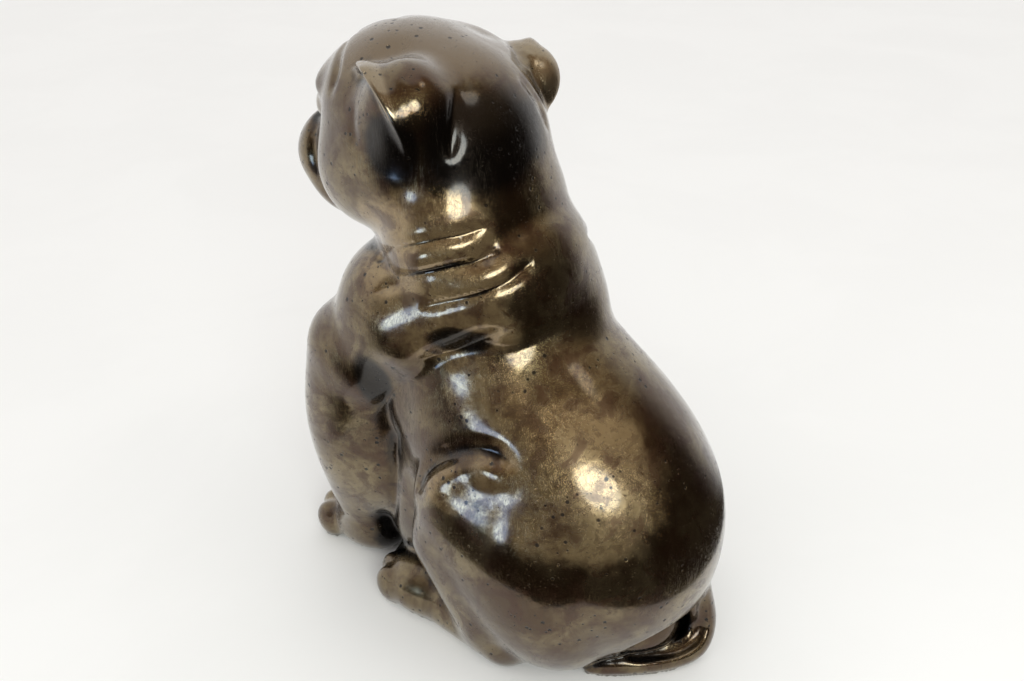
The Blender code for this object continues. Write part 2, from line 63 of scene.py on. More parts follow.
def turned(turn=0.0, nod=0.0, tilt=0.0):
    # axes turned about Z, then nodded about X, then tilted about Y, in degrees
    a, b, c = np.radians([turn, nod, tilt])
    aboutZ = np.array([[np.cos(a), -np.sin(a), 0], [np.sin(a), np.cos(a), 0], [0, 0, 1]])
    aboutX = np.array([[1, 0, 0], [0, np.cos(b), -np.sin(b)], [0, np.sin(b), np.cos(b)]])
    aboutY = np.array([[np.cos(c), 0, np.sin(c)], [0, 1, 0], [-np.sin(c), 0, np.cos(c)]])
    return (aboutZ @ aboutX @ aboutY).astype(real)


def flow(knots, count):
    # a smooth curve through a few points
    knots = np.asarray(knots, float)
    padded = np.vstack([2 * knots[0] - knots[1], knots, 2 * knots[-1] - knots[-2]])
    curve = []
    for place in np.linspace(0, len(knots) - 1, count):
        i = min(int(place), len(knots) - 2)
        u = place - i
        p0, p1, p2, p3 = padded[i:i + 4]
        curve.append(0.5 * (2 * p1 + (p2 - p0) * u + (2 * p0 - 5 * p1 + 4 * p2 - p3) * u ** 2
                            + (3 * p1 - p0 - 3 * p2 + p3) * u ** 3))
    return np.array(curve, real)


def mirrored(points):
    flipped = points.copy()
    flipped[:, 0] = -flipped[:, 0]
    return flipped


def within(points, low, high, reach):
    # numbers of the points inside a box, with room round it
    low = np.asarray(low, real) - real(reach)
    high = np.asarray(high, real) + real(reach)
    return np.nonzero(((points > low) & (points < high)).all(-1))[0]


# simple forms, as distances that are negative inside; points, sizes and blends are in parts

def ball(points, centre, radii, axes=None):
    offset = points - np.asarray(centre, real)
    if axes is not None:
        offset = offset @ axes
    scaled = offset / (np.asarray(radii, real) * np.ones(3, real))
    reach = np.sqrt((scaled * scaled).sum(-1)) + real(1e-6)
    slope = np.sqrt(((scaled / radii) ** 2).sum(-1)) + real(1e-9)
    return (reach * (reach - 1) / slope).astype(real)


def limb(points, start, end, startRound, endRound):
    # a straight tapering body with round ends
    start = np.asarray(start, real)
    axis = np.asarray(end, real) - start
    length = float(np.sqrt(axis @ axis))
    taper = (startRound - endRound) / length
    lean = np.sqrt(max(1 - taper * taper, 1e-6))
    offset = points - start
    along = offset @ (axis / length)
    across = np.sqrt(np.maximum((offset * offset).sum(-1) - along * along, 0))
    side = along * lean - across * taper
    body = across * lean + along * taper - startRound
    nearStart = np.sqrt(across ** 2 + along ** 2) - startRound
    nearEnd = np.sqrt(across ** 2 + (along - length) ** 2) - endRound
    return np.where(side < 0, nearStart, np.where(side > length * lean, nearEnd, body)).astype(real)


def join(first, second, blend):
    # two forms grown together with a fillet about as wide as blend
    overlap = np.maximum(blend - np.abs(first - second), 0) / blend
    return np.minimum(first, second) - overlap * overlap * (blend * 0.25)


def cut(form, tool, blend):
    return -join(-form, tool, blend)


def both(shape, points, blend):
    # a form and its mirror image
    return join(shape(points), shape(mirrored(points)), blend)


def rope(points, curve, rounds, blend):
    # a body along a curve, as thick at each point as rounds says
    form = limb(points, curve[0], curve[1], rounds[0], rounds[1])
    for i in range(1, len(curve) - 1):
        form = join(form, limb(points, curve[i], curve[i + 1], rounds[i], rounds[i + 1]), blend)
    return form


def addSmall(form, points, low, high, shape, blend, reach=20):
    # joins a small form on, worked out only for the points near it
    close = within(points, low, high, reach)
    if len(close):
        form[close] = join(form[close], shape(points[close]), blend)
    return form


def fromCurve(points, curve):
    # distance to a curve, and how far along it the nearest place is
    nearest = np.full(len(points), 1e9, real)
    share = np.zeros(len(points), real)
    for i in range(len(curve) - 1):
        step = curve[i + 1] - curve[i]
        part = np.clip(((points - curve[i]) @ step) / (step @ step), 0, 1)
        gap = points - curve[i] - part[:, None] * step
        distance = (gap * gap).sum(-1)
        closer = distance < nearest
        share = np.where(closer, (i + part) / (len(curve) - 1), share)
        nearest = np.minimum(nearest, distance)
    return np.sqrt(nearest), share


def carve(form, points, line):
    # a line sunk into a form: a soft valley with a sharper crease along its bottom
    curve, width = line["curve"], line["width"]
    close = within(points, curve.min(0), curve.max(0), 3 * width)
    if len(close) == 0:
        return form
    distance, share = fromCurve(points[close], curve)
    fade = np.clip(np.minimum(share, 1 - share) / max(line["ease"], 1e-3), 0, 1)
    fade = fade * fade * (3 - 2 * fade)
    valley = line["depth"] * np.exp(-(distance / width) ** 2)
    crease = line["crease"] * np.maximum(1 - distance / (width * 0.55), 0)
    sunk = form.copy()
    sunk[close] += ((valley + crease) * fade).astype(real)
    return sunk


def press(form, points, centre, width, depth):
    # a soft round hollow, or a swelling where depth is negative
    offset = points - np.asarray(centre, real)
    return form + real(depth) * np.exp(-(offset * offset).sum(-1) / real(width ** 2))


probes = np.array([(1, 1, 1), (1, -1, -1), (-1, 1, -1), (-1, -1, 1)], real)
probeLength = 1.732


def depthAndSlope(shape, points, reach=0.4):
    # the form's value and the way it grows, from four points round each place
    total = np.zeros(len(points), real)
    slope = np.zeros_like(points)
    for probe in probes:
        value = shape(points + probe * real(reach / probeLength))
        total += value
        slope += value[:, None] * probe
    return total / 4, slope * real(probeLength / (4 * reach))


def settle(shape, points, rounds, limit=3.0):
    # points drawn onto the skin of a form, by no more than limit in each round
    for _ in range(rounds):
        value, slope = depthAndSlope(shape, points)
        steep = np.maximum((slope * slope).sum(-1), 0.05)      # a form may hardly grow where two meet
        points = points - np.clip(value / steep, -limit, limit)[:, None] * slope
    return points.astype(real)


def laid(shape, knots, width, depth, ease, crease=0.0, count=16):
    # a line through a few points, set down on the skin and ready to carve
    curve = settle(shape, flow(knots, count), 6, 8.0)
    return {"curve": curve, "width": width, "depth": depth, "ease": ease, "crease": crease}


# body

bodySizes = {
    "rumpWidth": 144, "rumpHeight": 172,
    "neckSwell": 50,            # half the width of the skin bunched round the neck
    "leftCape": ((13, -11, 211), 45), "rightCape": ((5, -15, 208), 42),     # nape end and its round
    "armRound": 28.5, "elbowRound": 24, "wristRound": 20,
    "pawSpread": 76, "footSpread": 108, "toeWidth": 16,
    "tailRoot": 11, "tailTip": 6,
    "foldDepth": 4.0, "foldWidth": 2.3, "foldCrease": 3.0,
}


def torso(points):
    # rump, loin, ribs, belly, breast and neck
    form = ball(points, (0, 47, 74), (bodySizes["rumpWidth"] / 2, 75, bodySizes["rumpHeight"] / 2))
    form = join(form, ball(points, (0, 4, 116), (62, 64, 80)), 40)
    form = join(form, ball(points, (0, -32, 145), (57, 54, 68)), 36)
    form = join(form, ball(points, (0, -34, 50), (47, 50, 66)), 22)
    form = join(form, ball(points, (0, 8, 12), (56, 52, 30)), 10)
    form = join(form, both(lambda p: ball(p, (34, -40, 66), (25, 36, 62)), points, 10), 12)
    form = join(form, ball(points, (0, -66, 146), (44, 38, 52)), 28)
    form = join(form, limb(points, (0, -58, 130), (0, -54, 20), 36, 34), 18)
    form = join(form, limb(points, (0, -30, 205), (3, -44, 255), 52, 47), 30)
    return join(form, ball(points, (14, -22, 236), (bodySizes["neckSwell"], 38, 54)), 16)


def cape(points, nape, napeRound):
    # loose skin that hangs from the nape over one shoulder
    roll = limb(points, nape, (33, -44, 188), napeRound, 39.5)
    return join(roll, limb(points, (34, -50, 186), (50, -66, 160), 37, 28), 14)


def toes(form, points, centreX, frontY, lean):
    # four toes in a row, the outer two set back
    width = bodySizes["toeWidth"]
    close = within(points, (centreX - 17, frontY - 1, 11), (centreX + 17, frontY + lean, 11), 32)
    if len(close) == 0:
        return form
    part, here = form[close], points[close]
    for i in range(4):
        across = (i - 1.5) * width * 0.64
        back = lean if i in (0, 3) else 0.0
        part = join(part, ball(here, (centreX + across, frontY + back, 11), (width / 2, 11.5, 12)), 4)
    form[close] = part
    return form


armCurve = flow([(51, -76, 160), (55, -84, 122), (54, -88, 94), (48, -90, 62), (42, -91, 34)], 15)
armRounds = np.interp(np.linspace(0, 1, len(armCurve)), (0, 0.42, 0.6, 1),
                      (bodySizes["armRound"], bodySizes["elbowRound"], 22.5, bodySizes["wristRound"]))


def foreleg(points):
    # upper arm, elbow, forearm and paw
    pawX = bodySizes["pawSpread"] / 2
    form = rope(points, armCurve, armRounds, 0.01)
    form = join(form, ball(points, (50, -68, 96), (16, 22, 46)), 16)
    form = join(form, ball(points, (pawX, -98, 15), (21.5, 29, 18)), 12)
    return toes(form, points, pawX, -125, 6)


def thigh(points):
    # haunch, knee and shank of the folded hind leg
    form = ball(points, (46, 32, 74), (37, 54, 57), turned(nod=-18))
    form = join(form, ball(points, (54, 4, 96), (27, 30, 38)), 14)
    form = join(form, ball(points, (34, 52, 40), (38, 40, 44)), 20)
    return join(form, limb(points, (58, -4, 66), (60, 24, 24), 22, 18), 12)


def hindFoot(points):
    footX = bodySizes["footSpread"] / 2
    form = limb(points, (footX + 3, 34, 15), (footX + 1, -28, 13), 18, 18)
    form = join(form, ball(points, (footX, -34, 14), (22, 21, 17)), 10)
    return toes(form, points, footX, -52, 6)


def folded(points):
    # every point brought to the animal's left side
    near = points.copy()
    near[:, 0] = np.abs(near[:, 0])
    return near


def limbPair(shape, points, low, high):
    # the same limb on both sides, worked out only for the points near it
    near = folded(points)
    form = np.full(len(points), farOff, real)
    close = within(near, low, high, 24)
    if len(close):
        form[close] = join(shape(near[close]), shape(mirrored(near[close])), 6)
    return form


tailCurve = flow([(-10, 94, 66), (-14, 104, 50), (-17, 109, 34), (-18, 113, 19),
                  (-9, 115, 9), (6, 108, 7), (22, 95, 7), (36, 78, 5)], 24)
tailRounds = np.r_[np.linspace(bodySizes["tailRoot"], 8, 10), np.linspace(7.8, bodySizes["tailTip"], 14)]


def trunk(points):
    # everything below the head
    capes = join(cape(points, *bodySizes["leftCape"]), cape(mirrored(points), *bodySizes["rightCape"]), 20)
    form = join(torso(points), capes, 3)
    form = join(form, ball(points, (-10, -2, 188), (38, 38, 38)), 10)      # between the shoulders
    form = join(form, limbPair(foreleg, points, (16, -138, -4), (80, -44, 190)), 7)
    form = cut(form, ball(folded(points), (82, -34, 150), (16, 13, 24)), 12)   # behind the upper arms
    form = join(form, limbPair(thigh, points, (-6, -32, -8), (86, 94, 140)), 4)
    form = join(form, limbPair(hindFoot, points, (30, -64, -6), (78, 54, 34)), 5)
    seat = within(points, (-40, 62, -4), (56, 134, 80), 20)
    if len(seat):
        part, here = form[seat], points[seat]
        part = cut(part, ball(here, (10, 112, 24), (30, 17, 22), turned(turn=-30)), 2.5)   # room for the tail
        part = join(part, ball(here, (6, 88, 22), (25, 20, 19), turned(turn=-25)), 2)
        form[seat] = join(part, rope(here, tailCurve, tailRounds, 4), 2)
    return form


# head, in its own axes with the nose towards -Y

headSizes = {
    "at": (10.0, -55.5, 270.0), "turn": -5, "nod": -14, "tilt": -2,
    "skull": (112, 114, 104),
    "eyeSize": 17, "eyeSpread": 48,
    "noseWidth": 33, "flewSpread": 40,
    "earLength": 51, "farEarLength": 43, "earReach": 49, "earDepth": 15, "earLip": 3.0,
    "farEarShift": (-2, 0, 2),
}


def skull(points):
    # domed skull, heavy forehead and round cheeks
    form = ball(points, (0, 6, 4), tuple(size / 2 for size in headSizes["skull"]))
    form = join(form, ball(points, (0, -20, 22), (42, 33, 28)), 16)
    cheeks = both(lambda p: ball(p, (27, -9, -15), (25, 27, 27)), points, 10)
    form = join(form, cheeks, 13)
    form = join(form, ball(points, (34, 18, 32), (20, 22, 24)), 9)      # behind the left ear
    return join(form, ball(points, (-26, -4, 28), (23, 27, 23)), 7)     # fuller on the right


noseRoll = flow([(-27, -50, -10), (-16, -56, 1), (0, -58, 6), (16, -56, 1), (27, -50, -10)], 14)
noseRollRounds = 2.0 + 2.6 * np.sin(np.linspace(0.15, np.pi - 0.15, len(noseRoll)))


def muzzle(form, points):
    # short muzzle with hanging flews, a roll over the nose, chin and jowls
    wide = headSizes["noseWidth"]
    flewX = headSizes["flewSpread"] / 2
    form = join(form, ball(points, (0, -34, -42), (36, 26, 18)), 10)
    form = join(form, ball(points, (0, -42, -20), (30, 24, 22)), 10)
    flew = both(lambda p: ball(p, (flewX + 0.5, -49, -26.5), (19, 18, 21), turned(tilt=-10)), points, 5)
    form = join(form, flew, 11)
    form = addSmall(form, points, noseRoll.min(0), noseRoll.max(0),
                    lambda p: rope(p, noseRoll, noseRollRounds, 0.1), 7)
    form = join(form, ball(points, (0, -58, -47), (15, 12, 10)), 5)
    nose = join(ball(points, (0, -61, -7), (wide * 0.34, 9, 8)),
                both(lambda p: ball(p, (wide * 0.29, -61, -10), (wide * 0.24, 8.5, 7)), points, 2), 3)
    return join(form, nose, 2.5)


def eye(form, points):
    # socket, lids round an almond opening, and the eyeball
    eyeX, half = headSizes["eyeSpread"] / 2, headSizes["eyeSize"] / 2
    close = within(points, (eyeX - 13, -68, -8), (eyeX + 13, -34, 16), 12)
    if len(close) == 0:
        return form
    part, here = form[close], points[close]
    part = cut(part, ball(here, (eyeX, -57, 4), (13, 10, 10)), 6)
    part = join(part, ball(here, (eyeX, -43, 4), (half + 3.5, half + 3, half + 3)), 5)
    part = cut(part, ball(here, (eyeX, -57, 3), (9.2, 12.5, 5.8), turned(tilt=8)), 1.2)
    form[close] = join(part, ball(here, (eyeX, -43, 4), (half + 0.8,) * 3), 0.8)
    return form


def plainHead(points):
    # the head before its lines are carved
    brows = both(lambda p: ball(p, (21, -42, 20), (18, 9, 8), turned(tilt=14)), points, 8)
    form = muzzle(join(skull(points), brows, 9), points)
    for side in (points, mirrored(points)):
        form = eye(form, side)
        nostril = ball(side, (headSizes["noseWidth"] * 0.24, -71, -10), (4.4, 5, 3.0), turned(tilt=-25))
        form = cut(form, nostril, 1.5)
    return form


# the ear is half a leaf that stands off the skull, hollow towards the front
earAt = np.array((41.8, 10.7, 28.6), real)
earMiddle = (44, 14, 34)
earLine = np.array([-0.211, 0.686, -0.696])
earFront = np.array([0.80, -0.30, -0.48])
earRidge = flow([(32, 20, 40), (43, 13, 44.5), (54, 5, 47)], 6)


def earFrame():
    line = earLine / np.linalg.norm(earLine)
    front = earFront - (earFront @ line) * line
    front = front / np.linalg.norm(front)
    return np.stack([line, np.cross(front, line), front], 1).astype(real)


earAxes = earFrame()


def ear(points, length):
    reach, deep, lip = headSizes["earReach"], headSizes["earDepth"], headSizes["earLip"]
    form = np.full(len(points), farOff, real)
    close = within(points, earMiddle, earMiddle, 40)
    if len(close) == 0:
        return form
    local = (points[close] - earAt) @ earAxes
    leaf = ball(local, (0, 0, 0), (length / 2, reach / 2, deep))
    leaf = join(leaf, rope(points[close], earRidge, np.linspace(4, 2.6, 6), 2), 4)
    leaf = -join(-leaf, -local[:, 2], 2.0)              # its front half taken off
    shell = (length / 2 - lip, reach / 2 - lip - 1.5, deep * 0.53)
    form[close] = cut(leaf, ball(local, (0, 1.5, 2), shell), 1.5)
    return form


# lines carved on the head
middleLines = [
    laid(plainHead, [(-34, -50, -50), (-22, -64, -48), (-10, -70, -41), (0, -69, -37),
                     (10, -70, -41), (22, -64, -48), (34, -50, -50)], 2.6, 3.6, 0.2, 1.2, 30),   # mouth
    laid(plainHead, [(0, -68, -27), (0, -68, -31), (0, -69, -36)], 2.6, 2.2, 0.3, 0.8),         # lip cleft
    laid(plainHead, [(0, -60, 12), (0, -55, 26), (0, -42, 46), (0, -26, 57)], 4.0, 2.0, 0.3),   # stop
]
sideLines = [
    laid(plainHead, [(19, -57, -7), (31, -50, -12), (40, -42, -24), (43, -38, -38)], 3.2, 2.4, 0.3, 1.0),
    laid(plainHead, [(13, -56, 10), (19, -56, 15), (29, -54, 15), (37, -46, 7)], 2.2, 1.5, 0.3, 0.8),
    laid(plainHead, [(15, -56, -6), (24, -54, -9), (33, -48, -8), (39, -42, -1)], 2.4, 1.3, 0.3, 0.6),
    laid(plainHead, [(9, -57, 20), (18, -50, 34), (22, -38, 46)], 3.2, 1.8, 0.3),
    laid(plainHead, [(20, -46, 40), (33, -36, 38), (43, -25, 33), (48, -19, 20)], 2.6, 1.8, 0.3, 0.6),
    laid(plainHead, [(19, 32, 50), (28, 43, 37), (33, 50, 20)], 3.2, 1.8, 0.3, 0.8),
    laid(plainHead, [(51, -2, 32), (53, 4, 22), (55, 11, 11)], 3.2, 0.8, 0.3),
]
headAxes = turned(headSizes["turn"], headSizes["nod"], headSizes["tilt"])


def head(points):
    # the head with its lines and ears, worked out only for the points near it
    form = np.full(len(points), 40, real)
    away = points - np.array(headSizes["at"], real)
    close = np.nonzero(np.abs(away).max(-1) < 105)[0]
    if len(close) == 0:
        return form
    local = away[close] @ headAxes
    part = plainHead(local)
    for line in middleLines:
        part = carve(part, local, line)
    for side in (local, mirrored(local)):
        part = press(part, side, (29, -3, 52), 9, 2.2)         # between crown and ear
        for line in sideLines:
            part = carve(part, side, line)
    part = join(part, ear(local, headSizes["earLength"]), 4)
    farSide = mirrored(local) + np.array(headSizes["farEarShift"], real)
    form[close] = join(part, ear(farSide, headSizes["farEarLength"]), 4)
    return form


# whole animal

def uncarved(points):
    return join(trunk(points), head(points), 5)


foldWidth, foldDepth, foldCrease = bodySizes["foldWidth"], bodySizes["foldDepth"], bodySizes["foldCrease"]
neckFolds = [
    [(58, -53, 221), (65, -25, 238), (60, -6, 246), (50, 3, 248), (38, 10, 251)],
    [(68, -42, 210), (65, -30, 219), (62, -15, 227), (57, -1, 232), (49, 6, 234), (42, 12, 237),
     (36, 16, 239)],
    [(63, -16, 208), (59, -5, 213), (54, 7, 218), (48, 16, 222), (40, 22, 226), (33, 25, 230), (25, 26, 234)],
]
neckRolls = [
    [(66, -36, 219), (64, -12, 235), (52, 4, 240), (38, 12, 243)],
    [(66, -28, 210), (58, -5, 222), (48, 12, 227), (35, 21, 234)],
]
capeEdge = [(64, -24, 177), (57, -8, 181), (52, 2, 186), (47, 14, 196), (42, 22, 204)]
kneeCrease = [(76, -12, 101), (75, -11, 111), (73, -8, 119), (68, 1, 129), (64, 16, 139), (61, 31, 142),
              (59, 48, 137)]
kneeRoll = [(82, 4, 98), (79, 3, 112), (73, 8, 123), (67, 19, 130), (63, 36, 133), (62, 49, 129)]
armLine = [(62, -38, 131), (58, -47, 104), (58, -48, 83), (54, -53, 55), (46, -62, 34)]


def linesOn(shape):
    # the folds and swellings of one side of the body
    lines = [laid(shape, knots, foldWidth * 1.5, foldDepth * 0.4, 0.14, foldCrease, 20)
             for knots in neckFolds]
    lines += [laid(shape, knots, 7.0, -0.9, 0.35) for knots in neckRolls]
    lines.append(laid(shape, capeEdge, 6.0, 2.4, 0.35, 1.4, 20))
    lines.append(laid(shape, kneeCrease, 5.5, 3.4, 0.18, 1.8, 20))
    lines.append(laid(shape, kneeRoll, 9.0, -2.4, 0.35, 0.0, 20))
    lines.append(laid(shape, armLine, foldWidth * 1.6, foldDepth * 0.35, 0.25, 0.8))
    return lines


leftLines = linesOn(uncarved)
rightLines = linesOn(lambda points: uncarved(mirrored(points)))
tailLine = laid(uncarved, [(-11, 117, 46), (-10, 120, 30), (-5, 119, 19), (4, 114, 14),
                           (15, 105, 13), (28, 92, 13)], foldWidth * 1.2, foldDepth * 1.6, 0.15, 0.0, 20)


def animal(points):
    form = uncarved(points)
    for side, lines in ((points, leftLines), (mirrored(points), rightLines)):
        for line in lines:
            form = carve(form, side, line)
    form = carve(form, points, tailLine)
    return np.maximum(form, -points[:, 2])


# net over the skin

coarseCells = 4         # cells of the lattice to a side of the rough block that is tried first
untried = 99            # stands for a distance that was never worked out
cubeCorners = [(i, j, k) for i in (0, 1) for j in (0, 1) for k in (0, 1)]


def window(grid, corner, size):
    i, j, k = corner
    return grid[i:i + size[0], j:j + size[1], k:k + size[2]]


def repeated(grid):
    return grid.repeat(coarseCells, 0).repeat(coarseCells, 1).repeat(coarseCells, 2)


def sampled(shape, step):
    # the form on a lattice, exact only near the skin
    low, high = np.array(puppy["roomLow"], float), np.array(puppy["roomHigh"], float)
    blocks = np.ceil((high - low) / (step * coarseCells)).astype(int)
    ticks = [low[i] + step * coarseCells * np.arange(blocks[i] + 1) for i in range(3)]
    places = np.stack(np.meshgrid(*ticks, indexing="ij"), -1).reshape(-1, 3).astype(real)
    coarse = shape(places).reshape(blocks + 1)
    close = np.abs(coarse) < step * coarseCells * 1.5      # the skin may pass through the block
    busy = np.zeros(blocks, bool)
    for corner in cubeCorners:
        busy |= window(close, corner, blocks)
    fine = blocks * coarseCells
    wanted = np.zeros(fine + 1, bool)
    for corner in cubeCorners:
        window(wanted, corner, fine)[...] |= repeated(busy)
    values = np.full(fine + 1, untried, real)
    values[:-1, :-1, :-1] = repeated(np.sign(coarse[:-1, :-1, :-1])) * untried
    places = (np.argwhere(wanted) * step + low).astype(real)
    values[wanted] = inChunks(shape, places)
    return values


def inChunks(shape, points):
    # a few points at a time, to spare the memory
    return np.concatenate([shape(points[i:i + pointsAtOnce]) for i in range(0, len(points), pointsAtOnce)])


def unpinched(values, step):
    # fills every place where the skin would meet itself
    filled = values.copy()
    for _ in range(8):
        inside = filled < 0
        pinch = np.zeros(inside.shape, bool)
        for axis in range(3):
            sheet, mark = np.moveaxis(inside, axis, 0), np.moveaxis(pinch, axis, 0)
            a, b = sheet[:, :-1, :-1], sheet[:, 1:, :-1]
            c, d = sheet[:, :-1, 1:], sheet[:, 1:, 1:]
            mark[:, 1:, :-1] |= a & d & ~b & ~c
            mark[:, :-1, :-1] |= b & c & ~a & ~d
        size = np.array(inside.shape) - 1
        solid = sum(window(inside, corner, size).astype(int) for corner in cubeCorners)
        for corner in cubeCorners[:4]:
            here = window(inside, corner, size)
            there = window(inside, tuple(1 - i for i in corner), size)
            window(pinch, (1 - corner[0], corner[1], corner[2]), size)[...] |= (solid == 2) & here & there
            window(pinch, corner, size)[...] |= (solid == 6) & ~here & ~there
        if not pinch.any():
            break
        filled[pinch] = -0.05 * step        # just inside
    return filled


def netPoints(values, step):
    # one point in every cell that the skin passes through
    size = np.array(values.shape) - 1
    total = np.zeros((*size, 3), real)
    crossings = np.zeros(size, int)
    for axis in range(3):
        for corner in cubeCorners:
            if corner[axis] == 1:
                continue
            other = tuple(1 if i == axis else corner[i] for i in range(3))
            here, there = window(values, corner, size), window(values, other, size)
            crossed = (here < 0) != (there < 0)
            place = np.tile(np.array(corner, real), (int(crossed.sum()), 1))
            place[:, axis] += here[crossed] / (here[crossed] - there[crossed])
            total[crossed] += place
            crossings[crossed] += 1
    active = crossings > 0
    numbers = np.full(size, -1)
    numbers[active] = np.arange(int(active.sum()))
    mean = total[active] / crossings[active][:, None]
    return (np.argwhere(active) + mean) * step + np.array(puppy["roomLow"]), numbers


def netFaces(values, numbers):
    # a four-sided face across every lattice edge that the skin crosses
    inside = values < 0
    faces = []
    for axis in range(3):
        first, second = (axis + 1) % 3, (axis + 2) % 3
        low = np.take(inside, range(inside.shape[axis] - 1), axis)
        high = np.take(inside, range(1, inside.shape[axis]), axis)
        edges = np.argwhere(low != high)
        around = []
        for backFirst, backSecond in ((1, 1), (0, 1), (0, 0), (1, 0)):
            cell = edges.copy()
            cell[:, first] -= backFirst
            cell[:, second] -= backSecond
            around.append(numbers[cell[:, 0], cell[:, 1], cell[:, 2]])
        quads = np.stack(around, -1)
        outward = low[edges[:, 0], edges[:, 1], edges[:, 2]]
        quads[~outward] = quads[~outward][:, ::-1]
        faces.append(quads)
    return np.concatenate(faces)


def largestSkin(points, faces):
    # the biggest connected skin, without stray specks
    label = np.arange(len(points))
    while True:
        lower = label.copy()
        np.minimum.at(lower, faces.ravel(), label[faces].min(1).repeat(4))
        lower = lower[lower]
        if (lower == label).all():
            break
        label = lower
    first = label[faces[:, 0]]
    used, numbers = np.unique(faces[first == np.bincount(first).argmax()], return_inverse=True)
    return points[used], numbers.reshape(-1, 4)


def onSkin(points, rounds):
    # points above the floor drawn onto the animal's skin; the sole stays level
    raised = points[:, 2] > puppy["netStep"] * 0.4
    points = points.astype(real)
    points[raised] = settle(animal, points[raised], rounds)
    points[~raised, 2] = 0
    points[:, 2] = np.maximum(points[:, 2], 0)
    return points


def skinNet():
    step = puppy["netStep"]
    values = unpinched(sampled(animal, step), step)
    points, numbers = netPoints(values, step)
    points, faces = largestSkin(points, netFaces(values, numbers))
    return onSkin(points, 2), faces


def facing(points):
    # the way the skin faces at each point
    slope = inChunks(lambda some: depthAndSlope(animal, some, 0.35)[1], points)
    return slope / np.maximum(np.sqrt((slope * slope).sum(-1, keepdims=True)), 1e-6)


def pointsOf(work):
    return np.array([v.co[:] for v in work.verts], real)


def refined(points, faces):
    # splits the net again where the skin bends sharply, and draws the new points onto the skin
    mesh = bpy.data.meshes.new("first net")
    mesh.from_pydata(points.tolist(), [], faces.tolist())
    work = bmesh.new()
    work.from_mesh(mesh)
    bpy.data.meshes.remove(mesh)
    for turn in range(puppy["finerPasses"]):
        points = pointsOf(work)
        normals = facing(points)
        ends = np.array([(e.verts[0].index, e.verts[1].index) for e in work.edges])
        length = np.sqrt(((points[ends[:, 0]] - points[ends[:, 1]]) ** 2).sum(-1))
        bend = np.sqrt(((normals[ends[:, 0]] - normals[ends[:, 1]]) ** 2).sum(-1)) * np.sqrt(length)
        work.edges.ensure_lookup_table()
        triangles = sum(len(f.verts) - 2 for f in work.faces)
        room = (puppy["mostTriangles"] - triangles) / (puppy["finerPasses"] - turn)
        chosen, added = set(), 0
        for i in np.argsort(-bend):
            if bend[i] < puppy["leastBend"] or added > room:
                break
            for face in work.edges[i].link_faces:
                if face.index not in chosen:
                    chosen.add(face.index)
                    added += 3 * (len(face.verts) - 2) + 2
        edges = sorted({e for f in work.faces if f.index in chosen for e in f.edges}, key=lambda e: e.index)
        bmesh.ops.subdivide_edges(work, edges=edges, cuts=1, use_grid_fill=True)
        work.verts.index_update()
        work.faces.index_update()
        work.edges.index_update()
        moved = onSkin(pointsOf(work), 2)
        for vertex, place in zip(work.verts, moved.tolist()):
            vertex.co = place
        print("net split to", len(work.faces), "faces")
    bmesh.ops.triangulate(work, faces=work.faces[:], quad_method="SHORT_EDGE")
    return work


shading = {
    "hollow": ((3, 0.3), (8, 0.35), (20, 0.35)),    # how far out of the skin, and its weight
    "ridge": ((3, 0.5), (7, 0.5)),                  # how far into the skin, and its weight
    "foldDepth": 1.4,                               # a line's painted shade grows from this depth to twice it
}


def shades(points, normals):
    # how deep in a hollow, and how high on a ridge, each point lies: 0 to 1, for painted shade and sheen
    hollow = np.zeros(len(points), real)
    ridge = np.zeros(len(points), real)
    for reach, share in shading["hollow"]:
        outside = inChunks(animal, (points + normals * reach).astype(real))
        hollow += share * np.clip((reach - outside) / reach, 0, 1)
    for reach, share in shading["ridge"]:
        inner = inChunks(animal, (points - normals * reach).astype(real))
        ridge += share * np.clip((reach + inner) / reach, 0, 1)
    start = shading["foldDepth"]
    for side, lines in ((points, leftLines), (mirrored(points), rightLines)):
        for line in lines:      # folds get the darkest painted shade, with dark patina
            sunk = carve(np.zeros(len(points), real), side, line)
            dark = min(line["crease"] / foldCrease, 1) ** 2
            hollow = np.maximum(hollow, dark * np.clip((sunk - start) / start, 0, 1))
    return hollow, ridge


def figureMesh():
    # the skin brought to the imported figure's box, with its shades and its own normals
    points, faces = skinNet()
    print("first net:", len(faces), "faces")
    work = refined(points, faces)
    points = pointsOf(work)
    normals = facing(points)
    normals[points[:, 2] < 0.05] = (0, 0, -1)       # the sole
    hollow, ridge = shades(points, normals)
    cadLow, cadHigh = [np.array(corner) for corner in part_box("bulldog_figure")]
    low, high = points.min(0), points.max(0)
    scale = (cadHigh - cadLow) / (high - low)
    placed = (points - low) * scale + cadLow
    for vertex, place in zip(work.verts, placed.tolist()):
        vertex.co = place
    mesh = bpy.data.meshes.new("bulldog_puppy")
    work.to_mesh(mesh)
    work.free()
    mesh.polygons.foreach_set("use_smooth", np.ones(len(mesh.polygons), bool))
    for name, values in (("hollow", hollow), ("ridge", ridge)):
        mesh.attributes.new(name, "FLOAT", "POINT").data.foreach_set("value", values)
    outward = normals / scale
    outward /= np.sqrt((outward * outward).sum(-1, keepdims=True))
    mesh.normals_split_custom_set_from_vertices(outward.tolist())
    return mesh, low, scale


def newObject(name, data):
    thing = bpy.data.objects.new(name, data)
    bpy.context.scene.collection.objects.link(thing)
    return thing


figureData, partLow, partScale = figureMesh()
figure = newObject("bulldog_puppy", figureData)
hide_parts("bulldog_figure")
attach(figure, "root")
print("figure:", len(figure.data.polygons), "triangles")


# shader helpers

def newMaterial(name):
    material = bpy.data.materials.new(name)
    material.use_nodes = True
    return material, material.node_tree, material.node_tree.nodes["Principled BSDF"]


